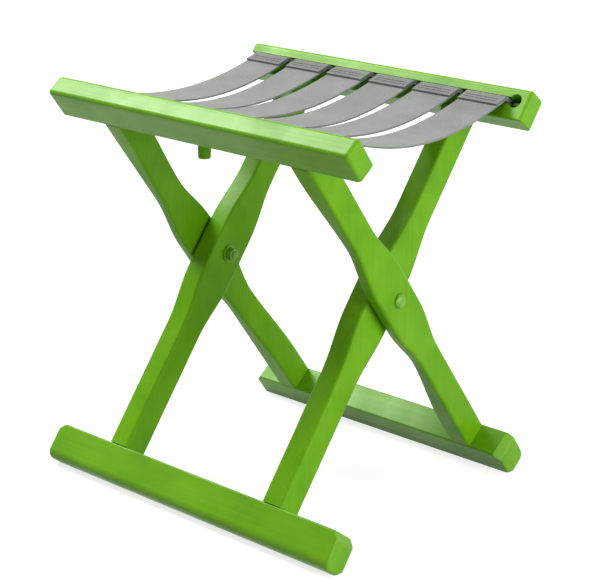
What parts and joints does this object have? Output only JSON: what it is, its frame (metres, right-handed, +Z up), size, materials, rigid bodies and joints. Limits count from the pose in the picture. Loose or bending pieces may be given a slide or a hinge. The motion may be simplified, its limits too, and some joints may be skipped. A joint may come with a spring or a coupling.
{
  "type": "folding camping stool",
  "caption": "Low folding stool: two painted wooden frames cross on bolts and carry a sagging seat of webbing straps; it folds up narrow for carrying.",
  "frame": {"origin": "on the ground, under the middle of the open stool", "axes": "+Z up, +X along the rails and feet to the stool's right, -Y towards the front, where the longer top rail is"},
  "size_m": [0.317, 0.2806, 0.3336],
  "materials": {
    "painted_wood": "satin lime-green paint over planed wood",
    "painted_hardware": "steel painted over with the frame",
    "steel_rod": "plain bright wire rod",
    "webbing": "woven matt grey webbing"
  },
  "bodies": {
    "outer_frame": {"front_top_rail": "painted_wood", "back_foot": "painted_wood", "outer_leg_left": "painted_wood", "outer_leg_right": "painted_wood", "hanging_peg": "painted_wood", "front_strap_rod": "steel_rod", "pivot_bolt_left": "painted_hardware", "pivot_bolt_right": "painted_hardware", "spacer_washer_left": "painted_hardware", "spacer_washer_right": "painted_hardware", "nut_washer_left": "painted_hardware", "nut_washer_right": "painted_hardware", "pivot_nut_left": "painted_hardware", "pivot_nut_right": "painted_hardware", "seat_strap_1": "webbing", "seat_strap_2": "webbing", "seat_strap_3": "webbing", "seat_strap_4": "webbing", "seat_strap_5": "webbing", "seat_strap_6": "webbing"},
    "inner_frame": {"back_top_rail": "painted_wood", "front_foot": "painted_wood", "inner_leg_left": "painted_wood", "inner_leg_right": "painted_wood", "back_strap_rod": "steel_rod"}
  },
  "joints": [
    {"name": "fold", "type": "hinge", "parent": "outer_frame", "child": "inner_frame", "pos_m": [0, 0, 0.17625], "axis": [1, 0, 0], "range_deg": [0, 49], "deforming": ["seat_strap_1", "seat_strap_2", "seat_strap_3", "seat_strap_4", "seat_strap_5", "seat_strap_6"]}
  ]
}
